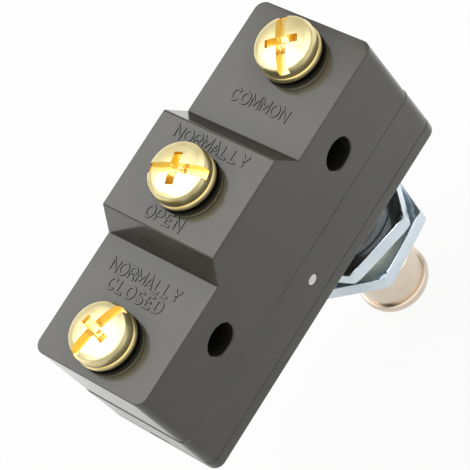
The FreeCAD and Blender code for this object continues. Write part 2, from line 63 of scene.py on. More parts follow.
LOG = logging.getLogger("plunger_switch")
Points = NDArray[np.float64]
Pair = tuple[float, float]
Triple = tuple[float, float, float]
Height = Callable[[Points], Points] | float
Socket = bpy.types.NodeSocket
Outputs = bpy.types.bpy_prop_collection

MM = 0.001
MERGE_DISTANCE = 1e-7
SMOOTH_ANGLE = np.radians(32)
FLAT_FACE_WEIGHT = 100
FULL_TURN = 2 * np.pi
TURN_STEPS = 96
ARC_STEPS = 6
EDGE_STEPS = 6
MITRE_LIMIT = 1.6
CLOUD_SPREAD = (0.35, 0.65)
MARK_SCALE = 600.0
MARK_HEIGHT = 0.3

BASE_Z = -14.4
SEAM_Z = BASE_Z + 2.2
LOW_FACE_Z = BASE_Z + 20.4
RAISED_FACE_Z = BASE_Z + 24.2
PLUNGER_X = 10.65
COLLAR_END_Z = BASE_Z - 3.4
STOP_Z = BASE_Z - 8.2
SPIGOT_TOP_Z = SEAM_Z + 0.7
CHAMBER_TOP_Z = SPIGOT_TOP_Z - 1.7
BUSHING_END_Z = BASE_Z - 15.2
HEAD_Z = BASE_Z - 22.9
BORE_FLOOR_Z = HEAD_Z + 2.4
RING_TOP_Z = BASE_Z - 7.6
TERMINAL_X = 19.6
SQUARE = np.array([[-1, -1], [1, -1], [1, 1], [-1, 1]], float)


class Body(Enum):
    """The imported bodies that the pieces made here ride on."""

    SWITCH = "switch_body"
    PLUNGER = "plunger"
    CONTACT = "moving_contact"


class Slot(Enum):
    """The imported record's material slots of those pieces."""

    CASE = "case_plastic"
    SCREW = "screw_brass"
    ZINC = "zinc_steel"
    PLUNGER = "plunger_steel"
    SPRING = "spring_steel"
    BLADE = "blade_copper"
    WHITE = "white_pin"


# ---- shapes

def unit(vector: Points) -> Points:
    """A vector's direction, with length 1."""
    return vector / np.linalg.norm(vector)


def smooth_step(share: Points) -> Points:
    """Rises from 0 to 1 as share does: 3 s squared less 2 s cubed, flat outside."""
    held = np.clip(share, 0.0, 1.0)
    return held * held * (3 - 2 * held)


def circuit(steps: int) -> Points:
    """Even angles once round, from 0."""
    return np.linspace(0, FULL_TURN, steps, endpoint=False)


def lifted(outline: Points, z: Points | float) -> Points:
    """A flat outline's points, put at one height or at one each."""
    return np.column_stack([outline, np.full(len(outline), z)])


def bend(radius: float) -> list[Pair]:
    """Steps of a quarter circle: radius less its sine, and radius less its cosine."""
    turn = np.linspace(0, np.pi / 2, EDGE_STEPS)
    return list(zip(radius * (1 - np.sin(turn)), radius * (1 - np.cos(turn))))


def rounded(*corners: Sequence[float]) -> Points:
    """An outline with its corners replaced by arcs.

    An arc touches both sides at radius / tan(half the corner's angle) from the corner, and its
    points are the spherical mean of the two touching radii.

    Args:
        corners: Two coordinates, and a radius unless the corner is sharp. With a radius, the
            first and last corners take each other as neighbours.

    Returns:
        The outline's points, one row each.
    """
    places = np.array([corner[:2] for corner in corners], float)
    runs = []
    for number, (corner, given) in enumerate(zip(places, corners)):
        radius = sum(given[2:])
        if radius == 0:
            runs.append(corner[None])
            continue
        back = unit(places[number - 1] - corner)
        on = unit(places[(number + 1) % len(places)] - corner)
        half = 0.5 * np.arccos(np.clip(back @ on, -1, 1))
        centre = corner + unit(back + on) * radius / np.sin(half)
        reach = radius / np.tan(half)
        first, last = corner + back * reach - centre, corner + on * reach - centre
        turn = np.pi - 2 * half
        share = np.linspace(0, 1, ARC_STEPS + 1)[:, None]
        bent = np.sin((1 - share) * turn) * first + np.sin(share * turn) * last
        runs.append(centre + bent / np.sin(turn))
    return np.concatenate(runs)


def polar(radius: Points, angle: Points, height: Points, x: float) -> Points:
    """Points x + r cos t, r sin t, h round an upright axis, from arrays of r, t and h."""
    across, deep = x + radius * np.cos(angle), radius * np.sin(angle)
    return np.stack(np.broadcast_arrays(across, deep, height), axis=-1)


def turned(outline: Points, x: float = 0.0, steps: int = TURN_STEPS) -> Points:
    """Turns an outline once round an upright axis.

    Args:
        outline: Radius and height, one row each.
        x: The axis's place along X.
        steps: Columns in a full turn.

    Returns:
        A grid: one row for each outline point, one column for each angle.
    """
    radius, height = np.asarray(outline, float).T[..., None]
    return polar(radius, circuit(steps), height, x)


def swept(path: Points, section: Points) -> Points:
    """Carries an upright section along a level path, mitred at the corners.

    Each point is path + side * section's first number * mitre + Z * its second number, where side
    is across the mean of the two runs that meet there and mitre is 1 / cos(half the turn).

    Args:
        path: Points of the path, one row each. It is closed if the first and last agree.
        section: Offsets across and up, one row each.

    Returns:
        A grid: one row for each path point, one column for each section point.
    """
    runs = np.diff(path, axis=0)
    runs /= np.linalg.norm(runs, axis=1, keepdims=True)
    if np.allclose(path[0], path[-1]):
        before, after = np.vstack([runs[-1:], runs]), np.vstack([runs, runs[:1]])
    else:
        before, after = np.vstack([runs[:1], runs]), np.vstack([runs, runs[-1:]])
    along = before + after
    along /= np.linalg.norm(along, axis=1, keepdims=True)
    mitre = 1 / np.clip(np.sum(along * after, axis=1), 1 / MITRE_LIMIT, 1)
    up = np.array([0.0, 0.0, 1.0])
    side = np.cross(up, along) * mitre[:, None]
    return path[:, None] + side[:, None] * section[None, :, :1] + up * section[None, :, 1:]


def placed(name: str, data: bpy.types.ID, *columns: Sequence[float]) -> bpy.types.Object:
    """Makes an object and links it to the scene.

    Args:
        name: The object's name.
        data: Its mesh, lamp or camera.
        columns: Its three axes and its place, or nothing to leave it at the origin.

    Returns:
        The new object.
    """
    made = bpy.data.objects.new(name, data)
    if columns:
        matrix = np.eye(4)
        matrix[:3] = np.column_stack(columns)
        made.matrix_world = Matrix(matrix.tolist())
    bpy.context.scene.collection.objects.link(made)
    return made


class Shell:
    """Patches of points and faces, joined into one closed mesh. Points are in millimetres."""

    def __init__(self) -> None:
        """Starts with nothing."""
        self._points: list[Points] = []
        self._faces: list[list[int]] = []
        self._count = 0

    def _take(self, points: Points) -> int:
        """Stores points.

        Args:
            points: The new points, in rows of three coordinates or a grid of them.

        Returns:
            The number of the first.
        """
        first = self._count
        self._points.append(points.reshape(-1, 3))
        self._count += len(self._points[-1])
        return first

    def patch(self, grid: Points, wrap: bool = True, close_rows: bool = False) -> "Shell":
        """Adds a surface over two parameters.

        Args:
            grid: Points by row and column. Four neighbours make a quad.
            wrap: Whether the last column joins the first.
            close_rows: Whether the last row joins the first.

        Returns:
            The shell itself.
        """
        rows, columns = grid.shape[:2]
        index = self._take(grid) + np.arange(rows * columns).reshape(rows, columns)
        if wrap:
            index = np.hstack([index, index[:, :1]])
        if close_rows:
            index = np.vstack([index, index[:1]])
        quads = np.stack([index[:-1, :-1], index[:-1, 1:], index[1:, 1:], index[1:, :-1]], axis=-1)
        self._faces += quads.reshape(-1, 4).tolist()
        return self

    def flat(self, *loops: Points) -> None:
        """Fills a flat outline with triangles.

        Args:
            loops: The outline, then its holes if it has any.
        """
        first = self._take(np.concatenate(loops))
        triangles = tessellate_polygon([[Vector(point) for point in loop] for loop in loops])
        self._faces += [[first + corner for corner in triangle] for triangle in triangles]

    def tube(self, grid: Points) -> "Shell":
        """Adds a surface round a path, with its two ends filled.

        Args:
            grid: One row for each place on the path, one column for each place round it.

        Returns:
            The shell itself.
        """
        self.patch(grid)
        self.flat(grid[0])
        self.flat(grid[-1])
        return self

    def piece(self, name: str, body: Body | None, slot: Slot, finish: "Finish", *nodes: str
              ) -> bpy.types.Object:
        """Makes the mesh object, gives it its finish, and puts it on its body.

        Args:
            name: The piece's name.
            body: The body it rides on, or none where it spans two bodies and rides on neither.
            slot: The record's material slot. Not used.
            finish: What it is made of.
            nodes: CAD nodes that it stands for.

        Returns:
            The new object.
        """
        mesh = bpy.data.meshes.new(name)
        mesh.from_pydata((np.concatenate(self._points) * MM).tolist(), [], self._faces)
        tidy = bmesh.new()
        tidy.from_mesh(mesh)
        bmesh.ops.remove_doubles(tidy, verts=tidy.verts, dist=MERGE_DISTANCE)
        bmesh.ops.recalc_face_normals(tidy, faces=tidy.faces)
        tidy.to_mesh(mesh)
        tidy.free()
        mesh.shade_smooth()
        mesh.set_sharp_from_angle(angle=SMOOTH_ANGLE)
        mesh.materials.append(finish.material())
        made = placed(name, mesh)
        weighted = made.modifiers.new("flat faces first", "WEIGHTED_NORMAL")
        weighted.keep_sharp = True
        weighted.weight = FLAT_FACE_WEIGHT
        if nodes:
            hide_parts(*nodes)
        if body is not None:
            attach(made, body.value)
        LOG.info("%s: %d faces", name, len(mesh.polygons))
        return made


# ---- finishes

class Wiring:
    """Adds nodes to one shader tree. An input takes a socket to link or a value to set."""

    def __init__(self, tree: bpy.types.NodeTree) -> None:
        """Works on the tree it is given."""
        self.tree = tree

    def feed(self, node: bpy.types.Node, inputs: dict[str | int, object]) -> None:
        """Fills a node's inputs.

        Args:
            node: The node.
            inputs: The socket or value for each input, by its name or number.
        """
        for key, source in inputs.items():
            if isinstance(source, Socket):
                self.tree.links.new(source, node.inputs[key])
            else:
                node.inputs[key].default_value = source

    def add(self, kind: str, inputs: dict[str | int, object] | None = None, **settings: object
            ) -> Outputs:
        """Adds a node.

        Args:
            kind: The node's type, less its first word, ShaderNode.
            inputs: What fills each input.
            settings: The node's own properties.

        Returns:
            The node's outputs.
        """
        node = self.tree.nodes.new("ShaderNode" + kind)
        for name, value in settings.items():
            setattr(node, name, value)
        self.feed(node, inputs or {})
        return node.outputs

    def maths(self, operation: str, first: object, second: object, clamp: bool = False) -> Socket:
        """Reckons with two numbers, and holds the result to 0 to 1 where clamp is set."""
        return self.add("Math", {0: first, 1: second}, operation=operation, use_clamp=clamp)[0]

    def mixed(self, share: Socket, low: object, high: object, kind: str = "FLOAT") -> Socket:
        """Mixes two numbers, or two colours where kind is RGBA."""
        start, result = (6, 2) if kind == "RGBA" else (2, 0)
        return self.add("Mix", {0: share, start: low, start + 1: high}, data_type=kind)[result]

    def ranged(self, value: Socket, to: Sequence[object], over: Pair = (0.0, 1.0),
               kind: str = "LINEAR") -> Socket:
        """Carries a number from the range over to the range to, held between its ends."""
        ends = dict(zip(("From Min", "From Max", "To Min", "To Max"), (*over, *to)))
        return self.add("MapRange", {"Value": value, **ends}, interpolation_type=kind)["Result"]


def new_group(name: str, output: str, *inputs: str) -> tuple[Wiring, Outputs, bpy.types.Node]:
    """Starts a shader node group.

    Args:
        name: The group's name.
        output: The name of its one output, a number.
        inputs: The names of its inputs, which are numbers too.

    Returns:
        The wiring of its tree, the sockets it is given, and its output node.
    """
    tree = bpy.data.node_groups.new(name, "ShaderNodeTree")
    for label in inputs:
        tree.interface.new_socket(label, in_out="INPUT", socket_type="NodeSocketFloat")
    tree.interface.new_socket(output, in_out="OUTPUT", socket_type="NodeSocketFloat")
    given = tree.nodes.new("NodeGroupInput").outputs
    return Wiring(tree), given, tree.nodes.new("NodeGroupOutput")


@cache
def cloud_group() -> bpy.types.NodeTree:
    """Soft cloudy variation for colour and gloss: noise on Object coordinates, spread out.

    Returns:
        The group.
    """
    wiring, given, result = new_group("cloudy variation", "Mask", "Scale")
    place = wiring.add("TexCoord")["Object"]
    noise = wiring.add("TexNoise", {"Vector": place, "Scale": given["Scale"], "Detail": 4.0})
    spread = wiring.ranged(noise["Fac"], (0.0, 1.0), CLOUD_SPREAD)
    wiring.feed(result, {"Mask": spread})
    return wiring.tree


@cache
def grain_group() -> bpy.types.NodeTree:
    """Height of a surface grain: fine noise plus longer marks, both drawn out along X.

    Returns:
        The group.
    """
    wiring, given, result = new_group("surface grain", "Height", "Scale", "Stretch")
    place = wiring.add("TexCoord")["Object"]
    stretch = wiring.add("CombineXYZ", {"X": given["Stretch"], "Y": 1.0, "Z": 1.0})["Vector"]
    drawn = wiring.add("VectorMath", {0: place, 1: stretch}, operation="MULTIPLY")["Vector"]
    fine = wiring.add("TexNoise", {"Vector": drawn, "Scale": given["Scale"], "Detail": 3.0})
    coarse = wiring.add("TexNoise", {"Vector": drawn, "Scale": MARK_SCALE})
    marks = wiring.maths("MULTIPLY", coarse["Fac"], MARK_HEIGHT)
    wiring.feed(result, {"Height": wiring.maths("ADD", fine["Fac"], marks)})
    return wiring.tree


@cache
def crevice_shading_group() -> bpy.types.NodeTree:
    """Painted shade from ambient occlusion: 1 where a surface is shut in, 0 in the open.

    Returns:
        The group.
    """
    wiring, given, result = new_group("crevices", "Mask", "Distance", "Strength")
    hidden = wiring.add("AmbientOcclusion", {"Distance": given["Distance"]}, samples=8)
    shut = wiring.maths("SUBTRACT", 1.0, hidden["AO"])
    wiring.feed(result, {"Mask": wiring.maths("MULTIPLY", shut, given["Strength"], clamp=True)})
    return wiring.tree


@dataclass(frozen=True)
class Finish:
    """A surface: two colours that cloud into each other, a third painted into hollows as shade,
    gloss and grain.

    Colours are linear. Distances are in metres and scales are per metre.
    """

    name: str
    light: Triple
    dark: Triple
    crevice_shading: Triple
    metallic: float = 0.0
    gloss: Pair = (0.3, 0.4)
    cloud_scale: float = 150.0
    crevice_shading_reach: float = 0.001
    crevice_shading_strength: float = 0.8
    grain_scale: float = 3000.0
    grain_stretch: float = 1.0
    grain_height: float = 0.000004

    @cache
    def material(self) -> bpy.types.Material:
        """Makes the finish as a node material, once.

        Returns:
            The material.
        """
        made = bpy.data.materials.new(self.name)
        made.use_nodes = True
        wiring = Wiring(made.node_tree)
        cloud = wiring.add("Group", {"Scale": self.cloud_scale}, node_tree=cloud_group())["Mask"]
        grain = wiring.add("Group", {"Scale": self.grain_scale, "Stretch": self.grain_stretch},
                           node_tree=grain_group())["Height"]
        # Painted shade: the ambient occlusion mask, shut, mixes the third colour into hollows.
        shut = wiring.add("Group", {"Distance": self.crevice_shading_reach,
                                    "Strength": self.crevice_shading_strength},
                          node_tree=crevice_shading_group())["Mask"]
        light, dark, crevice_shading = [(*colour, 1.0) for colour in (self.light, self.dark, self.crevice_shading)]
        clouded = wiring.mixed(cloud, dark, light, "RGBA")
        bump = wiring.add("Bump", {"Distance": self.grain_height, "Height": grain})
        wiring.feed(made.node_tree.nodes["Principled BSDF"], {
            "Base Color": wiring.mixed(shut, clouded, crevice_shading, "RGBA"),
            "Roughness": wiring.ranged(cloud, self.gloss),
            "Metallic": self.metallic,
            "Normal": bump["Normal"],
        })
        return made


# Painted shade: the case's near black third colour, spread 4 mm by ambient occlusion, blackens the
# holes and the plastic round the washers.
CASE_PLASTIC = Finish(
    "moulded case plastic", (0.067, 0.065, 0.053), (0.058, 0.056, 0.045), (0.006, 0.006, 0.005),
    gloss=(0.12, 0.18), cloud_scale=120.0, crevice_shading_reach=0.004, crevice_shading_strength=1.5,
    grain_scale=2500.0, grain_height=0.0000015)
# Painted reflection and shade: the screws' deep gold third colour stands in for light bounced round
# inside the slot and the cross.
SCREW_BRASS = Finish(
    "plated screw brass", (0.85, 0.74, 0.41), (0.77, 0.65, 0.33), (0.86, 0.57, 0.09),
    metallic=1.0, gloss=(0.28, 0.38), cloud_scale=400.0, crevice_shading_reach=0.0011,
    crevice_shading_strength=1.5, grain_scale=2200.0, grain_height=0.000003)
TERMINAL_BRASS = Finish(
    "bare terminal brass", (0.74, 0.56, 0.25), (0.66, 0.48, 0.20), (0.30, 0.18, 0.05),
    metallic=1.0, gloss=(0.22, 0.36), grain_stretch=4.0)
ZINC = Finish(
    "blue zinc plate", (0.72, 0.80, 0.85), (0.62, 0.71, 0.78), (0.12, 0.16, 0.19),
    metallic=1.0, gloss=(0.16, 0.26), cloud_scale=260.0, crevice_shading_strength=0.6,
    grain_scale=1800.0, grain_height=0.000003)
YELLOW_ZINC = Finish(
    "yellow zinc plate", (0.80, 0.74, 0.58), (0.72, 0.66, 0.50), (0.25, 0.19, 0.10),
    metallic=1.0, gloss=(0.2, 0.32), cloud_scale=260.0, crevice_shading_strength=0.6,
    grain_scale=1800.0, grain_height=0.000003)
PLUNGER_STEEL = Finish(
    "nickel plated plunger", (0.79, 0.69, 0.57), (0.72, 0.62, 0.50), (0.20, 0.14, 0.09),
    metallic=1.0, gloss=(0.26, 0.36), cloud_scale=300.0, grain_height=0.000003)
SPRING_STEEL = Finish(
    "spring steel wire", (0.55, 0.56, 0.58), (0.42, 0.43, 0.45), (0.10, 0.10, 0.10),
    metallic=1.0, gloss=(0.25, 0.4))
CONTACT_SILVER = Finish(
    "contact silver", (0.88, 0.87, 0.84), (0.76, 0.75, 0.71), (0.30, 0.28, 0.24),
    metallic=1.0, gloss=(0.2, 0.35))
BLADE_COPPER = Finish(
    "beryllium copper blade", (0.83, 0.55, 0.34), (0.76, 0.47, 0.28), (0.32, 0.18, 0.09),
    metallic=1.0, gloss=(0.22, 0.34), grain_stretch=0.2)
WHITE_PLASTIC = Finish(
    "white lock pin", (0.93, 0.92, 0.90), (0.88, 0.87, 0.85), (0.5, 0.48, 0.45),
    gloss=(0.35, 0.5), crevice_shading_reach=0.0002)
PIN_PLASTIC = Finish(
    "red brown pin plastic", (0.16, 0.06, 0.04), (0.12, 0.045, 0.03), (0.03, 0.015, 0.01),
    gloss=(0.35, 0.45))


# ---- case and cover

@dataclass
class CaseShape:
    """The stepped case and its cover, from the mould's sizes."""

    length: float = 49.2
    width: float = 17.45
    corner: float = 1.45
    skirt_z: float = BASE_Z + 8.8
    skirt_step: float = 0.07
    skirt_drop: float = 0.03
    top_edge: float = 0.16
    seam_edge: float = 0.15
    base_edge: float = 0.45
    raised_half: float = 6.55
    foot_half: float = 8.5
    raised_round: float = 0.35
    foot_round: float = 0.12
    hole_x: float = 12.7
    hole_radius: float = 2.1
    hole_rim: float = 0.12
    pin_z: float = BASE_Z + 5.2
    pin_radius: float = 0.74
    pin_hole_depth: float = 1.0
    pin_gap: float = 0.02
    pin_sunk: float = 0.012
    pin_length: float = 3.35
    pin_marks: tuple[Pair, ...] = ((0, 0), (0.22, -0.01), (0.30, 0.05), (0.38, 0.05),
                                   (0.46, -0.005), (0.60, 0.01))
    pin_edge: Pair = (0.03, 0.08)
    cavity: Triple = (22.4, 6.925, BASE_Z + 10.0)
    collar_radius: float = 7.65
    collar_edge: float = 0.2
    bore_radius: float = 4.85
    notch: Triple = (1.5, 0.6, 0.7)
    notch_wall: float = 0.01
    lip: Triple = (22.35, 6.875, 1.0)
    lip_wall: float = 0.8
    lip_edge: float = 0.15
    lip_sunk: float = 0.1
    tab: Triple = (3.0, 1.5, 4.4)
    tab_round: float = 0.6
    corner_steps: int = 8
    end_columns: int = 5
    hole_steps: int = 48
    pin_steps: int = 32

    def top(self) -> Points:
        """Draws the side view of the top.

        Returns:
            X and Z, one row each, from the closed end to the common end.
        """
        foot, edge = (LOW_FACE_Z, self.foot_round), (RAISED_FACE_Z, self.raised_round)
        return rounded((-self.length / 2, LOW_FACE_Z), (-self.foot_half, *foot),
                       (-self.raised_half, *edge), (self.raised_half, *edge),
                       (self.foot_half, *foot), (self.length / 2, LOW_FACE_Z))

    def plan(self, along: Points, across: Points, inset: float, height: Height) -> Points:
        """A loop of the rounded rectangle seen from above, moved in by inset.

        Args:
            along: X places on the long sides, which end where the corners begin.
            across: Y places on the short sides, the same way.
            inset: How far inside the outer form the loop runs.
            height: The loop's height, or its height as a function of X.

        Returns:
            The loop: near side, common end, far side, closed end.
        """
        half_x, half_y = self.length / 2 - inset, self.width / 2 - inset
        centre_x, centre_y = self.length / 2 - self.corner, self.width / 2 - self.corner
        turn = np.linspace(0, np.pi / 2, self.corner_steps + 1)[1:-1]
        corner = (self.corner - inset) * np.stack([np.sin(turn), -np.cos(turn)], axis=1)
        half = np.concatenate([
            np.stack([along, np.full_like(along, -half_y)], axis=1),
            corner + [centre_x, -centre_y],
            np.stack([np.full_like(across, half_x), across], axis=1),
            corner[::-1] * [1, -1] + [centre_x, centre_y],
        ])
        loop = np.concatenate([half, -half])
        return lifted(loop, height(loop[:, 0]) if callable(height) else height)

    def sides(self, along: Points, across: Points) -> tuple[slice, slice, list[int], list[int]]:
        """Tells which points of a loop are on which side.

        Args:
            along: X places on the long sides, as plan takes them.
            across: Y places on the short sides, the same way.

        Returns:
            Numbers of the points on the near side, far side, common end and closed end.
        """
        half = len(along) + len(across) + 2 * (self.corner_steps - 1)
        near, far = slice(0, len(along)), slice(half, half + len(along))
        common = list(range(len(along) - 1, half + 1))
        closed = [number % (2 * half) for number in range(half + len(along) - 1, 2 * half + 1)]
        return near, far, common, closed

    def walls(self, shell: Shell, low: Points, high: Points,
              sides: tuple[slice, slice, list[int], list[int]], holes: Sequence[Points]) -> None:
        """Joins two loops by upright walls, with the same holes in both long sides.

        Args:
            shell: What the walls are added to.
            low: The lower loop.
            high: The upper loop.
            sides: Which of their points are on which side.
            holes: Outlines in the near side, which the far side has too.
        """
        near, far, *ends = sides
        for end in ends:
            shell.patch(np.stack([low[end], high[end]]), wrap=False)
        for side, sign in ((near, 1), (far, -1)):
            outline = np.concatenate([low[side], high[side][::-1]])
            shell.flat(outline, *[hole * [1, sign, 1] for hole in holes])

    def side_circle(self, radius: float, x: float, z: float, y: float) -> Points:
        """Draws a circle that faces along Y.

        Args:
            radius: Its radius.
            x: Its middle along X.
            z: Its middle along Z.
            y: Where it lies.

        Returns:
            Its points, one row each.
        """
        angle = circuit(self.hole_steps)
        return np.column_stack([x + radius * np.cos(angle), np.full_like(angle, y),
                                z + radius * np.sin(angle)])

    def case(self) -> Shell:
        """The case: skirt, stepped top with rounded edges, mounting holes, pin holes and cavity.

        Every ring is the same rounded rectangle, moved in by an inset and lifted to a height that
        follows the stepped top, so the edge round it is a quarter circle in each upright section.

        Returns:
            The case, closed.
        """
        shell, top = Shell(), self.top()
        flat_half = self.length / 2 - self.corner
        inner = top[np.abs(top[:, 0]) < flat_half, 0]
        along = np.concatenate([[-flat_half], inner, [flat_half]])
        across = np.linspace(-1, 1, self.end_columns) * (self.width / 2 - self.corner)
        sides = self.sides(along, across)

        def ring(inset: float, height: Height) -> Points:
            """A loop of the outer form, moved in by inset."""
            return self.plan(along, across, inset, height)

        bottom = [ring(inset, SEAM_Z + rise) for inset, rise in bend(self.seam_edge)]
        skirt_top = ring(0, self.skirt_z - self.skirt_drop)
        ledge = ring(self.skirt_step, self.skirt_z)
        edge = [ring(self.skirt_step + inset, lambda x, drop=drop: np.interp(x, *top.T) - drop)
                for drop, inset in bend(self.top_edge)]
        shell.patch(np.stack(bottom))
        side_y = self.width / 2
        pin_hole = self.side_circle(self.pin_radius, 0, self.pin_z, -side_y)
        self.walls(shell, bottom[-1], skirt_top, sides, [pin_hole])
        shell.patch(np.stack([skirt_top, ledge]))
        face_y = side_y - self.skirt_step
        radius, rim = self.hole_radius, self.hole_rim
        rims = [self.side_circle(radius + rim, sign * self.hole_x, 0, -face_y) for sign in (-1, 1)]
        self.walls(shell, ledge, edge[0], sides, rims)
        shell.patch(np.stack(edge))
        near, far, *ends = sides
        shell.patch(np.stack([edge[-1][near], edge[-1][far][::-1]]), wrap=False)
        for end in ends:
            shell.flat(edge[-1][end])
        *half, ceiling = self.cavity
        mouth, roof = lifted(SQUARE * half, SEAM_Z), lifted(SQUARE * half, ceiling)
        shell.flat(bottom[0], mouth)
        shell.patch(np.stack([mouth, roof]))
        shell.flat(roof)
        bore = ((radius + rim, -face_y), (radius, rim - face_y), (radius, face_y - rim),
                (radius + rim, face_y))
        for sign in (-1, 1):
            shell.patch(np.stack([self.side_circle(r, sign * self.hole_x, 0, y) for r, y in bore]))
            shut = [self.side_circle(self.pin_radius, 0, self.pin_z, sign * y)
                    for y in (side_y, side_y - self.pin_hole_depth)]
            shell.patch(np.stack(shut))
            shell.flat(shut[1])
        return shell

    def cover(self) -> Shell:
        """The cover: a rounded plate with a notch, a collar round the bushing, a lip and tabs.

        Returns:
            The cover, closed.
        """
        shell = Shell()
        half_notch, notch_depth, notch_height = self.notch
        along = np.linspace(-1, 1, self.end_columns) * (self.length / 2 - self.corner)
        flat_y = self.width / 2 - self.corner
        half = np.array([flat_y, half_notch + self.notch_wall, half_notch])
        across = np.concatenate([-half, half[::-1]])

        def ring(inset: float, height: float, notched: bool) -> Points:
            """Draws a loop of the cover.

            Args:
                inset: How far inside the outer form it runs.
                height: Its height.
                notched: Whether the notch is cut into its closed end.

            Returns:
                The loop's points, one row each.
            """
            loop = self.plan(along, across, inset, height)
            end = -self.length / 2
            if notched:
                inside = (np.abs(loop[:, 1]) <= half_notch) & (loop[:, 0] < end + self.corner / 2)
                loop[inside, 0] = end + notch_depth
            return loop

        rings = [ring(inset, SEAM_Z - drop, True) for inset, drop in bend(self.seam_edge)]
        rings += [ring(0, SEAM_Z - notch_height, notched) for notched in (True, False)]
        rings += [ring(inset, BASE_Z + rise, False) for rise, inset in bend(self.base_edge)]
        shell.patch(np.stack(rings))
        outline = rounded((self.collar_radius, BASE_Z),
                          (self.collar_radius, COLLAR_END_Z, self.collar_edge),
                          (self.bore_radius, COLLAR_END_Z), (self.bore_radius, SEAM_Z))
        collar = turned(outline, PLUNGER_X)
        shell.patch(collar)
        shell.flat(rings[-1], collar[0])
        shell.flat(rings[0], collar[-1])
        self._lip(shell)
        return shell

    def _lip(self, shell: Shell) -> None:
        """Adds the locating lip and the two lock tabs on the inside of the cover.

        Args:
            shell: What they are added to.
        """
        half_x, half_y, height = self.lip
        low, high = SEAM_Z - self.lip_sunk, SEAM_Z + height
        edge, wall = self.lip_edge, self.lip_wall
        section = ((0, low), (0, high - edge), (edge, high), (wall, high), (wall, low))
        loops = [lifted(SQUARE * [half_x - inset, half_y - inset], z) for inset, z in section]
        shell.patch(np.stack(loops), close_rows=True)
        half, thick, tab_height = self.tab
        top = SEAM_Z + tab_height
        across, up = rounded((-half, low), (half, low), (half, top, self.tab_round),
                             (-half, top, self.tab_round)).T
        for sign in (-1, 1):
            faces = [np.column_stack([across, np.full_like(up, sign * y), up])
                     for y in (half_y, half_y - thick)]
            shell.tube(np.stack(faces))

    def lock_pins(self) -> Shell:
        """The two lock pins: short rods along Y with a slightly domed end and a fine ring mark.

        Returns:
            Both pins, in their places.
        """
        shell, radius = Shell(), self.pin_radius - self.pin_gap
        inset, depth = self.pin_edge
        outline = [*self.pin_marks, (radius - inset, inset), (radius, depth),
                   (radius, self.pin_length), (0, self.pin_length)]
        x, z, deep = np.moveaxis(turned(outline, steps=self.pin_steps), -1, 0)
        for sign in (-1, 1):
            y = sign * (self.width / 2 - self.pin_sunk - deep)
            shell.patch(np.stack([x, y, self.pin_z + z], axis=-1))
        return shell

    def build(self) -> None:
        """Makes the case, the cover and the lock pins."""
        self.case().piece("case_shell", Body.SWITCH, Slot.CASE, CASE_PLASTIC, "case")
        self.cover().piece("cover_plate", Body.SWITCH, Slot.CASE, CASE_PLASTIC, "base_cover")
        self.lock_pins().piece("lock_pin_ends", Body.SWITCH, Slot.WHITE, WHITE_PLASTIC,
                               "cover_lock_pins")


# ---- function labels

def arc(centre: Pair, reach: Pair, start: float, stop: float, steps: int = 10) -> list[Pair]:
    """Draws an elliptical arc.

    Args:
        centre: Its middle.
        reach: Its half axes, across and up.
        start: Its first angle, in degrees.
        stop: Its last angle, in degrees.
        steps: The number of runs between its points.

    Returns:
        Its points, in order.
    """
    turn = np.radians(np.linspace(start, stop, steps + 1))
    (x, y), (wide, high) = centre, reach
    return list(zip(x + wide * np.cos(turn), y + high * np.sin(turn)))


# Each letter's strokes, in a box about 0.7 wide and 1 high.
STROKES: dict[str, list[list[Pair]]] = {
    "A": [[(0, 0), (0.34, 1), (0.68, 0)], [(0.12, 0.34), (0.56, 0.34)]],
    "C": [arc((0.36, 0.5), (0.36, 0.5), 42, 318, 16)],
    "D": [[(0, 0), (0, 1), (0.2, 1)] + arc((0.26, 0.5), (0.38, 0.5), 80, -80)
          + [(0.2, 0), (0, 0)]],
    "E": [[(0.56, 1), (0, 1), (0, 0), (0.58, 0)], [(0, 0.52), (0.48, 0.52)]],
    "L": [[(0, 1), (0, 0), (0.54, 0)]],
    "M": [[(0, 0), (0, 1), (0.38, 0.3), (0.76, 1), (0.76, 0)]],
    "N": [[(0, 0), (0, 1), (0.64, 0), (0.64, 1)]],
    "O": [arc((0.37, 0.5), (0.37, 0.5), 0, 360, 24)],
    "P": [[(0, 0), (0, 1), (0.32, 1)] + arc((0.34, 0.73), (0.25, 0.27), 80, -80)
          + [(0.32, 0.46), (0, 0.46)]],
    "R": [[(0, 0), (0, 1), (0.32, 1)] + arc((0.34, 0.74), (0.25, 0.26), 80, -80)
          + [(0.32, 0.48), (0, 0.48)], [(0.32, 0.48), (0.62, 0)]],
    "S": [arc((0.31, 0.75), (0.28, 0.25), 30, 270) + arc((0.31, 0.25), (0.3, 0.25), 90, -150)],
    "Y": [[(0, 1), (0.32, 0.48), (0.64, 1)], [(0.32, 0.48), (0.32, 0)]],
}


@dataclass(frozen=True)
class Label:
    """A generic function word moulded beside its terminal, reading towards -Y, its top to +X."""

    word: str
    x: float
    y: float
    face_z: float
    pitch: float = 1.47
    cap_height: float = 1.45
    letter_width: float = 1.5
    bead_width: float = 0.42
    bead_top: float = 0.26
    bead_height: float = 0.10
    sunk: float = 0.05

    def shell(self) -> Shell:
        """The letters' strokes as raised beads with a flat top and sloping sides.

        Returns:
            The word, in its place.
        """
        shell = Shell()
        foot, top = self.bead_width / 2, self.bead_top / 2
        low, high = -self.sunk, self.bead_height
        section = np.array([(-foot, low), (-top, high), (top, high), (foot, low)])
        wide, start = self.letter_width, -self.pitch * (len(self.word) - 1) / 2
        for number, letter in enumerate(self.word):
            lines = STROKES[letter]
            half_wide = max(across for line in lines for across, _ in line) / 2
            for line in lines:
                across, upward = np.array(line).T
                y = self.y - (start + number * self.pitch + (across - half_wide) * wide)
                x = self.x + (upward - 0.5) * self.cap_height
                path = lifted(np.column_stack([x, y]), self.face_z)
                grid = swept(path, section)
                if np.allclose(path[0], path[-1]):
                    shell.patch(grid[:-1], close_rows=True)
                else:
                    shell.tube(grid)
        return shell


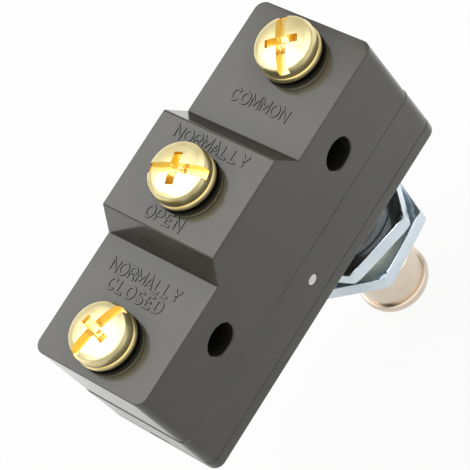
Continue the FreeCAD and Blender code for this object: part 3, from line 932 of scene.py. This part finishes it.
@dataclass
class FunctionLabels:
    """The words at the three terminals."""

    labels: tuple[Label, ...] = (
        Label("COMMON", 12.7, 0.2, LOW_FACE_Z, pitch=1.5),
        Label("NORMALLY", 4.9, -0.1, RAISED_FACE_Z, pitch=1.43),
        Label("OPEN", -4.85, 0.0, RAISED_FACE_Z),
        Label("NORMALLY", -11.52, 0.35, LOW_FACE_Z, pitch=1.38),
        Label("CLOSED", -13.58, 0.42, LOW_FACE_Z),
    )

    def build(self) -> None:
        """Makes one piece for each word."""
        for number, label in enumerate(self.labels):
            name = f"label_{number}_{label.word.lower()}"
            label.shell().piece(name, Body.SWITCH, Slot.CASE, CASE_PLASTIC)


# ---- terminals

@dataclass
class TerminalScrew:
    """A domed screw head with a slot and a cross recess, its shank and its washer."""

    name: str
    x: float
    face_z: float
    slot_angle: float
    head_radius: float = 3.85
    head_height: float = 2.3
    square_radius: float = 2.3
    head_lines: int = 27
    crown_radius: float = 2.95
    crown_drop: float = 0.34
    shoulder: Triple = (3.64, 1.62, 0.4)
    side_height: float = 0.9
    foot_round: float = 0.12
    slot_half: float = 0.6
    slot_depth: float = 1.15
    slot_fall: float = 0.35
    arm_half: float = 0.5
    arm_reach: float = 2.0
    arm_depth: float = 1.75
    arm_rise: float = 1.05
    wall: float = 0.035
    shank_radius: float = 2.0
    shank_length: float = 7.0
    shank_bevel: float = 0.4
    land: float = 0.6
    washer_thickness: float = 0.8
    washer_radius: float = 3.95
    washer_bore: float = 2.2
    washer_round: float = 0.6
    washer_edge: float = 0.12

    def _lines(self) -> Points:
        """Grid lines across the head, close together at the walls of the recess.

        Returns:
            The lines' places, from rim to rim.
        """
        walls = [edge + step for edge in (self.slot_half, self.arm_half, self.arm_reach)
                 for step in (-self.wall, 0.0, self.wall)]
        even = np.linspace(0, self.head_radius, self.head_lines)
        half = np.unique(np.round(np.concatenate([even, walls]), 4))
        return np.concatenate([-half[:0:-1], half])

    def _crown(self, radius: Points) -> Points:
        """The plain head: a shallow bowl, a crease, then a shoulder down to the side.

        Args:
            radius: Distances from the axis.

        Returns:
            The height at each.
        """
        bowl = self.head_height - self.crown_drop * (radius / self.crown_radius) ** 2
        shoulder = rounded((self.crown_radius, self.head_height - self.crown_drop),
                           self.shoulder, (self.head_radius, self.side_height))
        return np.where(radius < self.crown_radius, bowl, np.interp(radius, *shoulder.T))

    def head(self) -> Points:
        """The head's top as a height over a square grid that is drawn out into a disc.

        A grid point (a, b) is at the square distance m = max(|a|, |b|). It stays near the middle
        and is scaled by m / hypot(a, b) towards the rim, which makes the outermost square a circle.
        The height is the crown's, lowered to the slot's floor and the cross's sloping floors.

        Returns:
            A grid of points over the washer's upper face, with the axis at 0, 0.
        """
        lines = self._lines()
        a, b = np.meshgrid(lines, lines, indexing="ij")
        square = np.maximum(np.abs(a), np.abs(b))
        straight = np.maximum(np.hypot(a, b), 1e-9)
        inner = self.square_radius
        weight = smooth_step((square - inner) / (self.head_radius - inner))
        scale = 1 + weight * (square / straight - 1)
        x, y = a * scale, b * scale
        height = self._crown(np.hypot(x, y))

        def inside(distance: Points) -> Points:
            """Runs from 0 outside an edge to 1 inside it, across the recess's wall."""
            return smooth_step((distance + self.wall) / (2 * self.wall))

        def cut(floor: Points, share: Points) -> Points:
            """The height so far, lowered to a floor where share is 1."""
            return height + share * (np.minimum(height, floor) - height)

        fall = self.slot_fall * (a / self.head_radius) ** 2
        height = cut(self.head_height - self.slot_depth - fall, inside(self.slot_half - np.abs(b)))
        for along, over in ((a, b), (b, a)):
            rise = self.arm_rise * np.abs(along) / self.arm_reach
            in_arm = inside(self.arm_half - np.abs(over)) * inside(self.arm_reach - np.abs(along))
            height = cut(self.head_height - self.arm_depth + rise, in_arm)
        return np.stack([x, y, height], axis=-1)

    def screw(self) -> Shell:
        """The head's top, then rings down its side, under it and down the shank.

        Returns:
            The screw, in its place.
        """
        top = self.head()
        rim = np.concatenate([top[:-1, 0], top[-1, :-1], top[:0:-1, -1], top[0, :0:-1]])
        around = rim[:, :2] / np.linalg.norm(rim[:, :2], axis=1, keepdims=True)
        shank, end, bevel = self.shank_radius, -self.shank_length, self.shank_bevel
        outline = rounded((self.head_radius, self.side_height),
                          (self.head_radius, 0, self.foot_round), (shank, 0), (shank, end + bevel),
                          (shank - bevel, end), (0, end))
        rings = np.stack([lifted(radius * around, height) for radius, height in outline])
        turn = np.radians(self.slot_angle)
        cos, sin = np.cos(turn), np.sin(turn)
        spin = np.array([[cos, sin, 0], [-sin, cos, 0], [0, 0, 1]])
        seat = np.array([self.x, 0, self.face_z + self.land + self.washer_thickness])
        return Shell().patch(top @ spin + seat, wrap=False).patch(rings @ spin + seat)

    def washer(self) -> Shell:
        """A flat ring with rounded edges.

        Returns:
            The washer, in its place.
        """
        low, edge = self.face_z + self.land, self.washer_edge
        high, bore, radius = low + self.washer_thickness, self.washer_bore, self.washer_radius
        outline = rounded((bore, low, edge), (radius, low, edge), (radius, high, self.washer_round),
                          (bore, high, edge))
        return Shell().patch(turned(outline, self.x), close_rows=True)

    def build(self) -> None:
        """Makes the screw and its washer."""
        for shell, kind, form in ((self.screw(), "screw", "head"),
                                  (self.washer(), "washer", "ring")):
            node = f"{self.name}_{kind}"
            shell.piece(f"{node}_{form}", Body.SWITCH, Slot.SCREW, SCREW_BRASS, node)


# ---- bushing, nuts and plunger

@dataclass
class PanelMount:
    """The threaded bushing and its two thin nuts."""

    thread_radius: float = 6.0
    thread_pitch: float = 1.0
    thread_depth: float = 0.5
    fade_top: Pair = (0.3, 0.6)
    fade_end: Pair = (0.1, 0.5)
    rows_per_turn: int = 12
    chamfer: float = 0.6
    mouth: Pair = (4.35, 0.3)
    # Radius and height: pocket, stem bore, spring chamber, pin bore, then the staked spigot.
    bore: tuple[Pair, ...] = (
        (4.35, BASE_Z - 9.2), (2.85, BASE_Z - 9.2), (2.85, STOP_Z), (4.0, STOP_Z),
        (4.0, CHAMBER_TOP_Z), (1.35, CHAMBER_TOP_Z), (1.35, SPIGOT_TOP_Z), (4.8, SPIGOT_TOP_Z),
        (5.6, SEAM_Z + 0.01), (4.8, SEAM_Z), (4.8, COLLAR_END_Z),
    )
    nut_flats: float = 17.0
    nut_thickness: float = 2.35
    nut_gap: float = 2.1
    nut_chamfer_radius: float = 9.3
    nut_slope: float = 0.45
    nut_corner_radius: float = 9.78
    nut_edge: float = 0.1
    nut_bulge: float = 0.3
    nut_bore: float = 6.03
    nut_mouth: Pair = (0.4, 0.45)
    nut_face_radius: float = 7.6
    nut_rows: Pair = (0.4, 0.75)
    nut_columns: int = 168
    nut_angles: Pair = (47.3, 4.8)

    def bushing(self) -> Shell:
        """The bushing, turned, with a helical thread.

        In the threaded stretch the radius is R less depth times a rounded saw of height / pitch
        less angle / full turn, faded out at both ends of the thread.

        Returns:
            The bushing, in its place.
        """
        low, high = BUSHING_END_Z + self.chamfer, COLLAR_END_Z
        heights = np.linspace(high, low, int((high - low) / self.thread_pitch * self.rows_per_turn))
        barrel = np.column_stack([np.full(len(heights), self.thread_radius), heights])
        radius, bevel = self.mouth
        before = np.array([(radius, BUSHING_END_Z + bevel), *self.bore])
        after = np.array([(self.thread_radius - self.chamfer, BUSHING_END_Z),
                          (radius + bevel, BUSHING_END_Z)])
        outline = np.concatenate([before, barrel, after])
        z = outline[:, 1]
        angle = np.linspace(0, 1, TURN_STEPS, endpoint=False)
        phase = (z[:, None] / self.thread_pitch - angle[None]) % 1.0
        saw = smooth_step(1 - np.abs(2 * phase - 1))
        ends = (smooth_step((high - self.fade_top[0] - z) / self.fade_top[1])
                * smooth_step((z - low + self.fade_end[0]) / self.fade_end[1]))
        ends[:len(before)] = ends[len(before) + len(barrel):] = 0
        cut = saw * (self.thread_depth / self.thread_radius * ends)[:, None]
        grid = turned(outline)
        grid[..., :2] *= (1 - cut)[..., None]
        return Shell().patch(grid + [PLUNGER_X, 0, 0], close_rows=True)

    def nut(self, top_z: float, angle: float) -> Shell:
        """A hexagon nut chamfered on both faces.

        The flats are at radius (across flats / 2) / cos(angle from the middle of the flat), held
        to the corner radius. Each face drops by slope times the radius beyond the chamfer's start.

        Args:
            top_z: The height of its upper face.
            angle: How far it is turned, in degrees.

        Returns:
            The nut, in its place.
        """
        degrees = np.arange(self.nut_columns) * 360 / self.nut_columns
        from_middle = np.radians(degrees % 60 - 30)
        flat = np.minimum(self.nut_flats / 2 / np.cos(from_middle), self.nut_corner_radius)
        edge, half, face = self.nut_edge, self.nut_thickness / 2, self.nut_face_radius
        bulge = edge * self.nut_bulge

        def drop(radius: Points) -> Points:
            """How far a face has sloped down at a radius."""
            return self.nut_slope * np.maximum(radius - self.nut_chamfer_radius, 0)

        inside, deep = self.nut_mouth
        radii = [self.nut_bore, self.nut_bore + inside, face]
        radii += [face + (flat - edge - face) * share for share in (*self.nut_rows, 1.0)]
        radii += [flat - bulge, flat]
        heights = [half - deep, half, half, *[half - drop(radius) for radius in radii[3:6]],
                   half - drop(flat) - bulge, half - drop(flat) - edge]
        upper = np.array([np.broadcast_arrays(*row, flat)[:2] for row in zip(radii, heights)])
        radius, height = np.concatenate([upper, upper[::-1] * [[1], [-1]]]).transpose(1, 0, 2)
        grid = polar(radius, np.radians(degrees + angle), top_z - half + height, PLUNGER_X)
        return Shell().patch(grid, close_rows=True)

    def build(self) -> None:
        """Makes the bushing and both nuts."""
        self.bushing().piece("threaded_bushing", Body.SWITCH, Slot.ZINC, YELLOW_ZINC, "bushing")
        tops = (COLLAR_END_Z, COLLAR_END_Z - self.nut_thickness - self.nut_gap)
        for name, top_z, angle in zip(("inner", "outer"), tops, self.nut_angles):
            self.nut(top_z, angle).piece(f"{name}_hex_nut", Body.SWITCH, Slot.ZINC, ZINC,
                                         f"{name}_nut")


@dataclass(frozen=True)
class Coil:
    """A compression spring of round wire on the plunger's axis, between two heights."""

    radius: float
    wire: float
    low: float
    high: float
    turns: int = 5
    turn_steps: int = 40
    wire_steps: int = 12
    ease: float = 0.45

    def shell(self) -> Shell:
        """Wire carried round a helix whose pitch closes up at both ends.

        With t from 0 to 1, the angle is turns times t times a full turn, and the height rises by t
        less a sine that slows it at the ends.

        Returns:
            The spring, in its place.
        """
        share = np.linspace(0, 1, self.turns * self.turn_steps + 1)
        around, half = circuit(self.wire_steps), self.wire / 2
        eased = share - self.ease * np.sin(FULL_TURN * share) / FULL_TURN
        turn = (share * self.turns * FULL_TURN)[:, None]
        reach = self.radius - half + half * np.cos(around)[None]
        level = self.low + half + (self.high - self.low - self.wire) * eased
        height = level[:, None] + half * np.sin(around)[None]
        return Shell().tube(polar(reach, turn, height, PLUNGER_X))


@dataclass
class PlungerSet:
    """The thick plunger with its beaded head, and the two coil springs."""

    # Radius, height and rounding: bore, stem and ring groove, thick body, bevelled bead.
    side: tuple[tuple[float, ...], ...] = (
        (0, BORE_FLOOR_Z), (1.75, BORE_FLOOR_Z), (1.75, BASE_Z - 6.4), (2.8, BASE_Z - 6.4, 0.25),
        (2.8, RING_TOP_Z), (2.2, RING_TOP_Z), (2.2, STOP_Z), (2.8, STOP_Z),
        (2.8, BASE_Z - 15.3), (4.3, BASE_Z - 15.3, 0.3), (4.3, HEAD_Z),
        (4.75 - 0.16, HEAD_Z, 0.04), (4.75, HEAD_Z - 0.16, 0.08), (4.75, HEAD_Z - 1.0),
    )
    tip_z: float = BASE_Z - 26.4
    dome: Pair = (0.62, 1.6)
    dome_steps: int = 14
    rod_foot: float = 7.4
    return_wire: Pair = (3.75, 0.5)
    overtravel_wire: Pair = (1.6, 0.3)

    def plunger(self) -> Shell:
        """The plunger, turned, with a shallow domed end.

        Returns:
            The plunger, in its place.
        """
        turn = np.radians(np.linspace(0, 90, self.dome_steps))[1:]
        (head, low), (flat, steep) = self.side[-1], self.dome
        end = np.column_stack([head * np.cos(turn) ** flat,
                               low - (low - self.tip_z) * np.sin(turn) ** steep])
        end[-1] = (0, self.tip_z)
        outline = np.concatenate([rounded(*self.side), end])
        return Shell().patch(turned(outline, PLUNGER_X))

    def build(self) -> None:
        """Makes the plunger and the springs, the return spring on no body and the other on the
        plunger.
        """
        self.plunger().piece("beaded_plunger", Body.PLUNGER, Slot.PLUNGER, PLUNGER_STEEL, "plunger")
        axis, foot = PLUNGER_X * MM, BORE_FLOOR_Z
        outer = Coil(*self.return_wire, RING_TOP_Z, CHAMBER_TOP_Z).shell()
        spring = outer.piece("return_coil", None, Slot.SPRING, SPRING_STEEL, "return_spring")
        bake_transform(spring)
        inner = Coil(*self.overtravel_wire, foot, foot + self.rod_foot).shell()
        spring = inner.piece("overtravel_coil", Body.PLUNGER, Slot.SPRING, SPRING_STEEL,
                             "overtravel_spring")
        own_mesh(spring)


# ---- contacts

@dataclass
class SnapBlade:
    """The blade that snaps the moving contact over: a plate, a flat centre leg, two bowed legs."""

    low_z: float = -8.53
    thickness: float = 0.25
    width: float = 6.0
    end_x: float = -19.2
    plate_length: float = 11.0
    anchor_x: float = TERMINAL_X + 0.4
    fork_x: float = TERMINAL_X - 12.2
    slot_end: float = TERMINAL_X - 4.6
    lifted_x: float = PLUNGER_X + 0.3
    centre_width: float = 2.2
    side_width: float = 1.4
    overlap: float = 0.01
    bow: float = 1.0
    tip_rise: float = 0.525
    steps: tuple[int, int, int] = (12, 96, 40)

    def ribbon(self, shell: Shell, x: Points, z: Points | float, y_low: float, y_high: float
               ) -> None:
        """Adds a flat strip along a path in X and Z, with four corners in its section.

        Args:
            shell: What the strip is added to.
            x: X places along the path.
            z: Height of the strip's lower face, one for all or one each.
            y_low: Its near edge.
            y_high: Its far edge.
        """
        thick = self.thickness
        corners = [(y_low, 0.0), (y_high, 0.0), (y_high, thick), (y_low, thick)]
        rows = [np.stack(np.broadcast_arrays(x, y, z + up), axis=-1) for y, up in corners]
        shell.tube(np.stack(rows, axis=1))

    def build(self) -> None:
        """Makes the strip, which lies between the fork's slot and the pin, and the side legs, all
        on no body.
        """
        strip, legs = Shell(), Shell()
        plate_end = self.end_x + self.plate_length
        half, narrow = self.width / 2, self.centre_width / 2
        plate_steps, centre_steps, side_steps = self.steps
        self.ribbon(strip, np.linspace(self.end_x, plate_end, plate_steps), self.low_z, -half, half)
        centre = np.linspace(plate_end - self.overlap, self.anchor_x, centre_steps)
        self.ribbon(strip, centre, self.low_z, -narrow, narrow)
        share = np.linspace(0, 1, side_steps)
        side = plate_end + (self.fork_x - plate_end) * share
        lift = self.low_z + self.tip_rise * share + 4 * self.bow * share * (1 - share)
        for y_low in (-half, half - self.side_width):
            self.ribbon(legs, side, lift, y_low, y_low + self.side_width)
        blade = strip.piece("snap_blade_strip", None, Slot.BLADE, BLADE_COPPER, "snap_blade")
        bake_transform(blade)
        bowed = legs.piece("snap_blade_side_legs", None, Slot.BLADE, BLADE_COPPER)
        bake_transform(bowed)


def dress_frame_nodes() -> None:
    """Gives the CAD nodes that stay their finishes."""
    finishes = {
        TERMINAL_BRASS: ("common_terminal", "normally_open_terminal", "normally_closed_terminal",
                         "anchor_rivet"),
        CONTACT_SILVER: ("normally_open_contact", "normally_closed_contact", "moving_contact"),
        SPRING_STEEL: ("retaining_ring", "actuator_rod"),
        PIN_PLASTIC: ("switch_pin",),
    }
    for finish, names in finishes.items():
        for name in names:
            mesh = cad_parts[name].data
            mesh.materials.clear()
            mesh.materials.append(finish.material())
            LOG.info("%s: %s", name, finish.name)


# ---- studio

@dataclass(frozen=True)
class Lamp:
    """A soft oblong lamp that points at the switch. Places and sizes are in metres."""

    name: str
    place: Triple
    across: Triple
    size: Pair
    power: float

    def build(self) -> None:
        """Makes the lamp, with its first side along the direction across."""
        data = bpy.data.lights.new(self.name, "AREA")
        data.shape, data.energy = "RECTANGLE", self.power
        data.size, data.size_y = self.size
        back = unit(np.array(self.place))
        first = unit(np.array(self.across) - back * (back @ self.across))
        placed(self.name, data, first, np.cross(back, first), back, self.place)


@dataclass
class Studio:
    """The camera, the pale floor, the soft lamp and the white surroundings.

    What glossy rays see of the floor and the sky is graded, for the sheen on the case: glow over
    the floor's X in front and behind, sky over height in front and behind.
    """

    target: Triple = (-1.053, -2.205, -0.296)
    distance: float = 268.0
    azimuth: float = -15.523
    elevation: float = 53.186
    roll: float = -44.858
    lens: float = 177.89
    sensor: float = 36.0
    clip: Pair = (0.01, 20.0)
    floor_z: float = -40.85
    floor_half: float = 1500.0
    floor_colour: tuple[float, ...] = (0.9, 0.9, 0.9, 1)
    sky_colour: tuple[float, ...] = (1.0, 0.99, 0.96, 1)
    glow_share: Pair = (0.6, 0.93)
    glow_front: Pair = (0.68, 1.36)
    glow_behind: float = 1.9
    glow_x: Pair = (-0.035, 0.035)
    glow_y: Pair = (0.01, 0.07)
    sky_front: Pair = (0.45, 2.3)
    sky_behind: float = 0.75
    sky_z: Pair = (0.1, 0.95)
    sky_y: Pair = (-0.15, 0.25)
    sky_light: float = 0.35
    lamp: Lamp = Lamp("overhead softbox", (-0.090, 0.205, 0.580), (0.98, -0.20, 0.0),
                      (0.50, 0.71), 3.3)

    def camera(self) -> None:
        """The camera at the photograph's angle, rolled so that the common end is up and right."""
        turn, lift, roll = np.radians([self.azimuth, self.elevation, self.roll])
        back = np.array([np.sin(turn) * np.cos(lift), -np.cos(turn) * np.cos(lift), np.sin(lift)])
        upright = unit(np.array([0, 0, 1]) - back * back[2])
        up = upright * np.cos(roll) - np.cross(upright, back) * np.sin(roll)
        data = bpy.data.cameras.new("photo camera")
        data.lens, data.sensor_width = self.lens, self.sensor
        data.clip_start, data.clip_end = self.clip
        place = (np.array(self.target) + back * self.distance) * MM
        made = placed("photo camera", data, np.cross(up, back), up, back, place)
        bpy.context.scene.camera = made

    def floor(self) -> None:
        """A plain pale floor that shows almost white to the camera and keeps the soft shadow."""
        mesh = bpy.data.meshes.new("floor")
        corners = lifted(SQUARE * self.floor_half, self.floor_z) * MM
        mesh.from_pydata(corners.tolist(), [], [(0, 1, 2, 3)])
        material = bpy.data.materials.new("pale floor")
        material.use_nodes = True
        nodes, wiring = material.node_tree.nodes, Wiring(material.node_tree)
        matt = nodes["Principled BSDF"]
        wiring.feed(matt, {"Base Color": self.floor_colour, "Roughness": 0.9,
                           "Specular IOR Level": 0.0})
        seen = wiring.add("LightPath")["Is Camera Ray"]
        split = wiring.add("SeparateXYZ", {"Vector": wiring.add("TexCoord")["Object"]})
        front = wiring.ranged(split["X"], self.glow_front, self.glow_x)
        glow = wiring.ranged(split["Y"], (front, self.glow_behind), self.glow_y, "SMOOTHSTEP")
        lit = wiring.add("Emission", {"Strength": wiring.mixed(seen, glow, 1.0)})
        mix = wiring.add("MixShader", {"Fac": wiring.ranged(seen, self.glow_share),
                                       1: matt.outputs["BSDF"], 2: lit["Emission"]})
        wiring.feed(nodes["Material Output"], {"Surface": mix["Shader"]})
        mesh.materials.append(material)
        made = placed("floor", mesh)

    def world(self) -> None:
        """Surroundings that are white to the camera, graded in reflections and dim as a light."""
        world = bpy.data.worlds.new("studio")
        bpy.context.scene.world = world
        world.use_nodes = True
        nodes, wiring = world.node_tree.nodes, Wiring(world.node_tree)
        base = nodes["Background"]
        wiring.feed(base, {"Color": self.sky_colour, "Strength": self.sky_light})
        path = wiring.add("LightPath")
        seen = wiring.maths("MAXIMUM", path["Is Camera Ray"], path["Is Glossy Ray"])
        seen = wiring.maths("MAXIMUM", seen, path["Is Transmission Ray"])
        split = wiring.add("SeparateXYZ", {"Vector": wiring.add("TexCoord")["Generated"]})
        front = wiring.ranged(split["Z"], self.sky_front, self.sky_z, "SMOOTHSTEP")
        side = wiring.ranged(split["Y"], (0.0, 1.0), self.sky_y, "SMOOTHSTEP")
        level = wiring.mixed(side, front, self.sky_behind)
        grey = wiring.add("CombineColor", dict.fromkeys(("Red", "Green", "Blue"), level))["Color"]
        tint = wiring.mixed(path["Is Glossy Ray"], (1, 1, 1, 1), grey, "RGBA")
        white = wiring.add("Background", {"Color": tint, "Strength": 1.0})
        mix = wiring.add("MixShader", {"Fac": seen, 1: base.outputs["Background"],
                                       2: white["Background"]})
        wiring.feed(nodes["World Output"], {"Surface": mix["Shader"]})

    def build(self) -> None:
        """Sets up the whole studio."""
        self.camera()
        self.floor()
        self.world()
        self.lamp.build()
        bpy.context.scene.view_settings.view_transform = "Standard"


def main() -> None:
    """Builds the switch and its studio in order."""
    logging.basicConfig(level=logging.INFO, format="%(name)s: %(message)s")
    CaseShape().build()
    FunctionLabels().build()
    for screw in (TerminalScrew("common", TERMINAL_X, LOW_FACE_Z, 35.0),
                  TerminalScrew("normally_open", 0.0, RAISED_FACE_Z, 108.0),
                  TerminalScrew("normally_closed", -TERMINAL_X, LOW_FACE_Z, 163.0)):
        screw.build()
    PanelMount().build()
    PlungerSet().build()
    SnapBlade().build()
    dress_frame_nodes()
    Studio().build()


if __name__ == "__main__":
    main()
